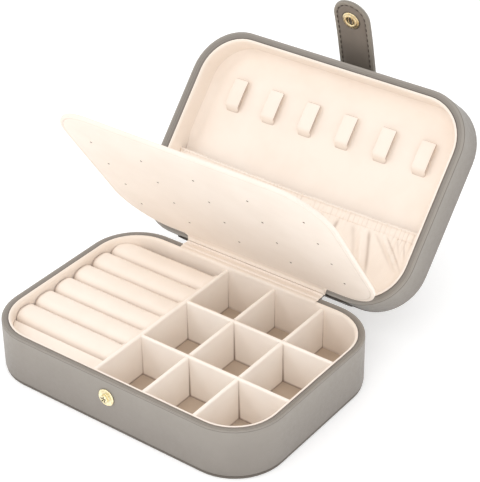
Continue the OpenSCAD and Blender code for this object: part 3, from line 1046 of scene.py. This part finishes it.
def lid():
    outer = lid_back + 0.05
    wall_shell("lid_leather_wall", lid_rim, outer, DOWN, LID, "lid", "lid_wall", LID_BULGE)
    lining_band("lid_velvet_lining", lid_edge, pad_z + 1.2, DOWN, LID, "lid", "lid_lining")
    low, high = box_in("lid_top", LID)
    flat_panel("lid_leather_top", low.z, high.z - 0.35, -0.3, 0.4, LID, "lid", "lid_top")
    lid_pad()
    for i in range(1, 7):
        necklace_hook(i)
    pocket()


lid()

# ---------------------------------------------------------------- page

page_low, page_high = box_in("page_front_velvet", PAGE)
page_mid = ((page_low.x + page_high.x) / 2, (page_low.y + page_high.y) / 2)
page_half_x = (page_high.x - page_low.x) / 2
page_half_y = (page_high.y - page_low.y) / 2
page_points = [PAGE.inverted() @ v.co / MM for v in nodes["page_front_velvet"].data.vertices]
page_r = page_high.x - max(p.x for p in page_points if p.y > page_high.y - 0.01)
page_ring = ring(page_half_x, page_half_y, page_r, page_mid, 3.0, 16)
# Earring holes: pitch each way, middle row, radius, and their centres in the flat page
HOLE_X, HOLE_Y, HOLE_MID_Y, HOLE_R = 31.7, 21.2, 2.2, 0.62
hole_xs = [page_mid[0] + (i - 2) * HOLE_X for i in range(5)]
hole_ys = [HOLE_MID_Y + (j - 1.5) * HOLE_Y for j in range(4)]
holes = [Vector((x, y)) for x in hole_xs for y in hole_ys]


def bake(made):
    """Applies a piece's modifiers to its mesh."""
    graph = bpy.context.evaluated_depsgraph_get()
    mesh = bpy.data.meshes.new_from_object(made.evaluated_get(graph), depsgraph=graph)
    made.modifiers.clear()
    old = made.data
    made.data = mesh
    bpy.data.meshes.remove(old)


def punch(made, z_low, z_high):
    """Cuts the earring holes through a page layer."""
    bars = []
    for hole in holes:
        verts, faces = lathe([(HOLE_R, z_low), (HOLE_R, z_high)], 16)
        bars.append(([(hole.x + x, hole.y + y, z) for x, y, z in verts], faces))
    cutter = piece("cutter", joined(*bars), cream_velvet, PAGE)
    cut = made.modifiers.new("holes", "BOOLEAN")
    cut.operation = "DIFFERENCE"
    cut.solver = "EXACT"
    cut.object = cutter
    bake(made)
    bpy.data.objects.remove(cutter)


# Inset of the page's sewn line, and of the rings that shape its faces
SEWN_IN = 1.5
SKIN_INSETS = [0.0, 0.2, 0.4, 0.6, 0.85, 1.1, 1.3, 1.45, 1.6, 1.75, 2.0, 2.5, 3.5, 5.0, 8.0, CORE]


def page_skin(outer, outward):
    """Height of a velvet face of the page at inset d: rolled edge and a sewn line inside it."""
    def skin(d):
        roll = 0.3 * (1 - ease(d / 0.6)) ** 2
        sewn = 0.22 * ease(1 - abs(d - SEWN_IN) / 0.5)
        pillow = 0.1 * ease((d - 2.0) / 4.0)
        return outer - outward * (roll + sewn - pillow)

    return skin


def page_face(name, node, rows, outward):
    """Page velvet from its rows, with its slight waviness, its holes, and painted shade on their walls."""
    low, high = box_in(node, PAGE)
    verts, faces = plate(page_ring, rows, page_mid)
    outer = low.z if outward < 0 else high.z
    soft = []
    for x, y, z in verts:
        lift = 0.08 * ripple(x, y, outward * 5.0, 24.0) if abs(z - outer) < 0.15 else 0.0
        soft.append((x, y, z + lift))
    # Painted shade along the sewn line.
    marks = plate_marks(page_ring, rows, lambda d: 0.25 * ease(1 - abs(d - SEWN_IN) / 0.4))
    made = piece(name, (soft, faces), cream_velvet, PAGE, marks)
    punch(made, low.z - 1.0, high.z + 1.0)
    # Faces of the hole walls take the painted shade.
    made.data.materials.append(hole_painted_shade)
    flat = PAGE.inverted()
    for face in made.data.polygons:
        points = [flat @ made.data.vertices[i].co / MM for i in face.vertices]
        near = min(holes, key=lambda hole: (hole - points[0].xy).length)
        if all((near - p.xy).length < HOLE_R + 0.08 for p in points):
            face.material_index = 1
    made.data.polygons.foreach_set("use_smooth", [True] * len(made.data.polygons))
    made.data.set_sharp_from_angle(angle=math.radians(50))
    return place(made, "page", "velvet", node)


def page_front():
    """Velvet of the face towards the base, turned over the board's edge on to its back."""
    low, high = box_in("page_front_velvet", PAGE)
    top = box_in("page_back_velvet", PAGE)[1].z
    skin = page_skin(low.z, -1)
    turned = [
        (CORE, high.z), (0.0, high.z), (-0.04, high.z + 0.1), (-0.04, top), (-0.1, top + 0.06),
        (-0.24, top), (-0.35, top - 0.15), (-0.4, top - 0.45), (-0.4, low.z + 0.55),
        (-0.33, low.z + 0.25), (-0.2, skin(0)),
    ]
    turned += [(d, skin(d)) for d in SKIN_INSETS[1:]]
    rows = core_rows(high.z, skin(CORE), [(d, 1.0, z) for d, z in turned])
    return page_face("page_velvet_front", "page_front_velvet", rows, -1)


def page_back():
    """Velvet of the face towards the lid, laid inside the turned edge."""
    low, high = box_in("page_back_velvet", PAGE)
    skin = page_skin(high.z, 1)
    between = [(CORE, 1.0, low.z), (0.3, 1.0, low.z)] + [(d, 1.0, skin(d)) for d in SKIN_INSETS]
    rows = core_rows(low.z, skin(CORE), between)
    return page_face("page_velvet_back", "page_back_velvet", rows, 1)


def page():
    front = page_front()
    back = page_back()
    nodes["page_board"].data.materials[0] = board


page()

# ---------------------------------------------------------------- hinge

lid_axis = Vector(joints["lid_hinge"]["pos_m"]) / MM
page_axis = Vector(joints["page_hinge"]["pos_m"]) / MM


def opened(y, z, pose):
    """(y, z) of a point of the shut lid or flat page, once it is at rest."""
    p = pose @ (Vector((0, y, z)) * MM) / MM
    return Vector((p.y, p.z))


def smooth_path(points, steps):
    """Catmull-Rom curve through points, as steps + 1 places evenly spread over them."""
    out = []
    last = len(points) - 1
    for k in range(steps + 1):
        t = k / steps * last
        i = min(int(t), last - 1)
        f = t - i
        p0, p1 = points[max(i - 1, 0)], points[i]
        p2, p3 = points[i + 1], points[min(i + 2, last)]
        bend = (2 * p0 - 5 * p1 + 4 * p2 - p3) * f * f + (3 * p1 - p0 - 3 * p2 + p3) * f**3
        out.append(0.5 * (2 * p1 + (p2 - p0) * f + bend))
    return out


def strip(name, path, half_at, thick, across, material, wrinkle=0.0):
    """Cloth of constant section along X. half_at(t) is its half length, t along the path."""
    steps = len(path) - 1

    def surface(u, v):
        at = v * steps
        i = min(int(at), steps - 1)
        p = path[i].lerp(path[i + 1], at - i)
        x = (2 * u - 1) * half_at(v)
        lift = wrinkle * ripple(x, 20 * v, 2.0, 14.0)
        return Vector((x, p.x, p.y + lift))

    return piece(name, solid_sheet(surface, across, steps, thick), material, BASE, None, 70)


# Half length of the hinge in the gap, and the velvet's level on each rim, the lid's when shut
hinge_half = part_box("hinge_velvet")[1].x / MM
rim_over = rim_z + 0.3
lid_over = lid_rim - 0.3
spine_y = mid_of("base_hinge_flap", 1)


def leather_spine():
    """Glued up the base's back wall, across the gap, and on to the lid's back wall."""
    flap_low, flap_high = box_in("base_hinge_flap")
    lid_flap_low, lid_flap_high = box_in("lid_hinge_flap", LID)
    wide = flap_high.x
    up_base = (flap_low.z, flap_low.z + 4, 20.0, flap_high.z - 1.5)
    up_lid = (lid_flap_low.z + 1.5, 38.0, 43.0, lid_flap_high.z)
    points = [Vector((spine_y, z)) for z in up_base]
    points.append(Vector((spine_y + 0.25, flap_high.z + 0.6)))
    points.append(Vector((lid_axis.y + 0.9, lid_axis.z - 1.1)))
    points.append(opened(spine_y + 0.25, lid_flap_low.z - 0.6, LID))
    points += [opened(spine_y, z, LID) for z in up_lid]
    path = smooth_path(points, 110)
    web_start, web_end = 3 / (len(points) - 1), 7 / (len(points) - 1)

    def half_at(v):
        end = min(v, 1 - v) / 0.05
        ends = 1.6 * (1 - math.sqrt(max(1 - (1 - end) ** 2, 0.0))) if end < 1 else 0
        outside = max(web_start - v, v - web_end)
        return hinge_half + (wide - hinge_half) * ease(outside / 0.02) - ends

    spine = strip("hinge_leather_spine", path, half_at, 0.95, 60, case_leather)
    # Painted shade over the wings that reach past the velvet hinge cloth.
    past = [abs(v.co.x) / MM - hinge_half for v in spine.data.vertices]
    paint(spine, [0.9 * ease((x + 1.5) / 1.5) for x in past])
    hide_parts("base_hinge_flap", "hinge_leather", "lid_hinge_flap")
    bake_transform(spine)


def cloth_at(v):
    """Half length of a velvet hinge cloth, with slightly uneven ends."""
    return hinge_half + 0.25 * ripple(v * 60, 1.0, 0.0, 7.0)


def rim_cloth():
    """Velvet over both rims, with the sewn ridges that run along it."""
    front = half_w - inset
    # (y, height over the velvet's level) on the base, then on the shut lid
    over_base = [
        (front + 0.1, -2.2), (front + 0.15, -0.6), (front + 0.7, 0.08), (front + 1.9, 0.13),
        (front + 2.9, 0.05), (front + 3.7, 0.42), (half_w, 0.3), (half_w + 1.5, 0.25),
        (half_w + 2.4, 0.75),
    ]
    over_lid = [
        (half_w + 0.6, 0.1), (half_w - 1.0, -0.35), (front + 3.0, -0.08), (front + 1.6, -0.2),
        (front + 0.5, -0.1), (front + 0.1, 2.2),
    ]
    points = [Vector((y, rim_over + rise)) for y, rise in over_base]
    points += [opened(y, lid_over + rise, LID) for y, rise in over_lid]
    path = smooth_path(points, 84)
    cloth = strip("hinge_velvet_cloth", path, cloth_at, 0.34, 90, cream_velvet, 0.03)
    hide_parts("base_hinge_velvet", "hinge_velvet", "lid_hinge_velvet")
    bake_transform(cloth)


def page_cloth():
    """Velvet strip that holds the page to the hinge."""
    mid_z = mid_of("page_hinge_strip", 2, PAGE)
    edge, end_y = page_high.y, box_in("page_hinge_strip", PAGE)[1].y
    # (y, height over the strip's middle) in the flat page
    on_page = [
        (edge - 3.4, 0.3), (edge - 1.2, 0.2), (edge + 0.4, -0.1), (edge + 1.4, -0.35),
        (edge + 2.6, 0.0), (end_y, 0.0), (end_y + 1.0, -0.1),
    ]
    foot = Vector((page_axis.y - 1.6, rim_over + 0.9))
    path = smooth_path([opened(y, mid_z + rise, PAGE) for y, rise in on_page] + [foot], 36)
    cloth = strip("page_hinge_cloth", path, cloth_at, 0.5, 90, cream_velvet, 0.06)
    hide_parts("page_hinge_strip")
    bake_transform(cloth)


leather_spine()
rim_cloth()
page_cloth()

# ---------------------------------------------------------------- strap

outer_low, outer_high = box_in("strap_anchor", LID)
strap_half = outer_high.x
strap_in = outer_low.z - bend_axis.z
strap_t = outer_high.z - outer_low.z
anchor_len = outer_high.y - bend_axis.y


def bent(degrees):
    """Pose of the strap, bent by an angle from straight."""
    spin = Matrix.Rotation(math.radians(degrees), 4, "X")
    return LID @ Matrix.Translation(bend_axis * MM) @ spin


STRAP = bent(strap_open)
socket_low, socket_high = box_in("snap_socket", STRAP)
snap_s = -(socket_low.y + socket_high.y) / 2
snap_r = (socket_high.x - socket_low.x) / 2
lining_t = box_in("strap_lining", STRAP)[1].z - strap_in
fold_arc = math.radians(strap_open) * (strap_in + strap_t / 2)
strap_end = fold_arc - box_in("strap_outer", STRAP)[0].y
# Inset of the stitching, and the distance from one stitch to the next
STITCH_IN, STITCH_STEP = 2.4, 3.3
# The strap's end curls in: by CURL times the square of the distance past CURL_FROM
CURL, CURL_FROM = 0.0022, 14.0
# Steps round each end of the strap's outline
END_TURNS = 28


def strap_point(x, s, h):
    """Place on the bent strap at rest, in metres: s from the fold, h above its inner face."""
    if s <= 0:
        p = Vector((x, bend_axis.y - s, bend_axis.z + strap_in + h))
        return LID @ (p * MM)
    angle = min(s, fold_arc) / fold_arc * strap_open
    past = max(s - fold_arc, 0.0)
    curl = CURL * max(past - CURL_FROM, 0.0) ** 2 * (1 - 0.15 * abs(x) / strap_half)
    return bent(angle) @ (Vector((x, -past, strap_in + h - curl)) * MM)


def strap_outline(inset_by, step=1.2, turns=END_TURNS):
    """(x, s) round the strap, a long shape with two round ends."""
    r = strap_half - inset_by
    near, far = -anchor_len + strap_half, strap_end - strap_half
    points = []
    for k, (centre, other) in enumerate(((far, near), (near, far))):
        for i in range(turns + 1):
            a = math.pi * (k + i / turns)
            points.append((r * math.cos(a), centre + r * math.sin(a)))
        side = r if k else -r
        parts = round((far - near) / step)
        points += [(side, centre + (other - centre) * i / parts) for i in range(1, parts)]
    return points


def strap_layer(name, h_low, h_high, inset_by, material, stands_for, groove_side):
    """One leather layer of the strap, with a sunk stitching line on its outer side."""
    beside = [STITCH_IN + step for step in (-0.45, -0.2, 0.0, 0.2, 0.45)]
    insets = [0.0, 0.08, 0.3, 0.7, 1.3] + beside + [3.6, 5.2, 7.0, 8.8, 10.4]
    t = h_high - h_low

    def grooved(d):
        roll = t * 0.42 * (1 - ease(d / 0.6)) ** 2
        channel = 0.22 * ease(1 - abs(d - STITCH_IN) / 0.45)
        pillow = 0.12 * ease((d - STITCH_IN) / 3.0)
        return roll + channel - pillow

    def level(d):
        return 0.25 * t * (1 - ease(d / 0.5))

    below, above = (grooved, level) if groove_side < 0 else (level, grooved)
    rows = [(d, h_low + below(d)) for d in reversed(insets)]
    rows += [(d, h_high - above(d)) for d in insets]
    verts, painted_shade, wear_and_highlight = [], [], []
    for d, h in rows:
        for x, s in strap_outline(inset_by + d):
            verts.append(strap_point(x, s, h) / MM)
            # Painted shade along the stitching channel; the border outside the stitching lighter, partly wear and
            # partly painted highlight.
            painted_shade.append(0.35 * ease(1 - abs(d - STITCH_IN) / 0.4))
            wear_and_highlight.append(0.85 * ease((2.2 - d) / 0.6))
    count = len(verts) // len(rows)
    faces = grid_faces(len(rows), count)
    faces += medial_faces(0, count) + medial_faces(len(verts) - count, count)
    marks = {"painted_shade": painted_shade, "wear_and_highlight": wear_and_highlight}
    made = piece(name, (verts, faces), material, BASE, marks, 60)
    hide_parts(*stands_for)
    return made


def medial_faces(first, count):
    """Faces across the narrow loop that is left along the strap's middle line."""
    loop = [first + (END_TURNS // 2 + i) % count for i in range(count)]
    faces = []
    for i in range(count // 2):
        face = tuple(dict.fromkeys((loop[i], loop[i + 1], loop[-2 - i], loop[-1 - i])))
        if len(face) > 2:
            faces.append(face)
    return faces


def stitches():
    """Thread stitches on both faces of the strap, each dipping into its two holes."""
    line = strap_outline(STITCH_IN, 0.5, 70)
    lengths = [0.0]
    for a, b in zip(line, line[1:] + line[:1]):
        lengths.append(lengths[-1] + math.hypot(b[0] - a[0], b[1] - a[1]))
    total = lengths[-1]
    count = round(total / STITCH_STEP)

    def at(distance):
        distance %= total
        i = max(j for j, value in enumerate(lengths) if value <= distance)
        a, b = line[i % len(line)], line[(i + 1) % len(line)]
        f = (distance - lengths[i]) / max(lengths[i + 1] - lengths[i], 1e-9)
        return a[0] + (b[0] - a[0]) * f, a[1] + (b[1] - a[1]) * f

    rods = []
    for i in range(count):
        middle = (i + 0.5) * total / count
        for h, way in ((0.2, -1), (strap_t - 0.2, 1)):
            path = []
            for k in range(7):
                f = k / 6 - 0.5
                x, s = at(middle + f * 2.0)
                rise = 0.2 * (1 - (2 * f) ** 4) - 0.05
                path.append(strap_point(x, s, h + way * rise) / MM)
            rods.append(tube(path, 0.3))
    made = piece("strap_stitching", joined(*rods), thread, BASE, None, 60)
    return made


def snap_on_strap():
    """Socket ring with its spring inside the strap's end, and the plain cap outside."""
    past = max(snap_s - CURL_FROM, 0.0)
    seat = STRAP @ Matrix.Translation(Vector((0, -snap_s, strap_in - CURL * past**2)) * MM)
    seat = seat @ Matrix.Rotation(math.atan(2 * CURL * past), 4, "X")
    inward = seat @ Matrix.Rotation(math.pi, 4, "X")
    outward = seat @ Matrix.Translation(Vector((0, 0, strap_t)) * MM)
    r = snap_r

    profile = [
        (0.02, -0.5), (r - 0.5, -0.5), (r - 0.5, 0.0), (r, 0.05), (r + 0.05, 0.25),
        (r - 0.1, 0.5), (r - 0.45, 0.62), (r - 0.85, 0.64), (r - 1.05, 0.72), (r - 1.2, 0.98),
        (r - 1.5, 1.14), (3.0, 1.16), (2.65, 1.1), (2.42, 0.95), (2.32, 0.7), (2.28, 0.1),
        (2.2, -0.1), (0.02, -0.12),
    ]

    # Painted shade inside the ring and in its groove.
    def recess_shade_at(d, h):
        return 1.0 if d < 2.35 and h < 0.8 else 0.7 * ease(1 - abs(d - (r - 0.95)) / 0.22)

    socket = turned("snap_socket_ring", profile, brass_plate, inward, recess_shade_at)
    place(socket, "strap", "gold", "snap_socket")

    # Leather pressed down round the ring, with painted shade under and beside the ring, and the pit, a disc of
    # painted shade, and the spring inside it
    profile = [
        (0.02, -0.3), (r + 0.9, -0.3), (r + 0.9, 0.02), (r + 0.7, 0.16), (r + 0.3, 0.2),
        (r - 0.2, 0.1), (0.02, 0.1),
    ]

    def pressed_shade_at(d, h):
        return 1.0 - 0.9 * ease((d - r - 0.45) / 0.4)

    well = turned("snap_socket_well", profile, strap_leather, inward, pressed_shade_at)
    place(well, "strap", "strap_leather")
    pit = lathe([(0.02, -0.1), (2.25, -0.1), (2.25, 0.02), (0.02, 0.02)], 32)
    place(piece("snap_socket_pit", pit, painted_shade_dark, inward), "strap", "gold")
    wires = []
    for side in (-1, 1):
        shares = [k / 12 - 0.5 for k in range(13)]
        bow = [side * (1.15 + 0.25 * math.cos(math.pi * 2 * f)) for f in shares]
        wires.append(tube([Vector((x, 4.2 * f, 0.55)) for x, f in zip(bow, shares)], 0.2))
    spring = piece("snap_socket_spring", joined(*wires), brass_plate, inward)
    place(spring, "strap", "gold")

    profile = [
        (0.02, -0.4), (r - 0.2, -0.4), (r - 0.2, 0.0), (r + 0.55, 0.02), (r + 0.62, 0.2),
        (r + 0.5, 0.45), (r, 0.72), (r - 1.2, 0.94), (r - 2.6, 1.05), (1.0, 1.1), (0.02, 1.1),
    ]
    cap = turned("snap_cap_dome", profile, brass_plate, outward)
    place(cap, "strap", "gold", "snap_cap")


def strap():
    inside, outside = ["strap_lining"], ["strap_outer", "strap_fold", "strap_anchor"]
    inner = strap_layer("strap_inner_leather", 0.02, lining_t, 0.3, strap_leather, inside, -1)
    outer = strap_layer("strap_outer_leather", lining_t, strap_t, 0, case_leather, outside, 1)
    start = strap_point(0, -0.1, strap_t / 2)
    end = strap_point(0, fold_arc + 0.1, strap_t / 2)
    for made in (inner, outer, stitches()):
        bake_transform(made)
    snap_on_strap()


strap()
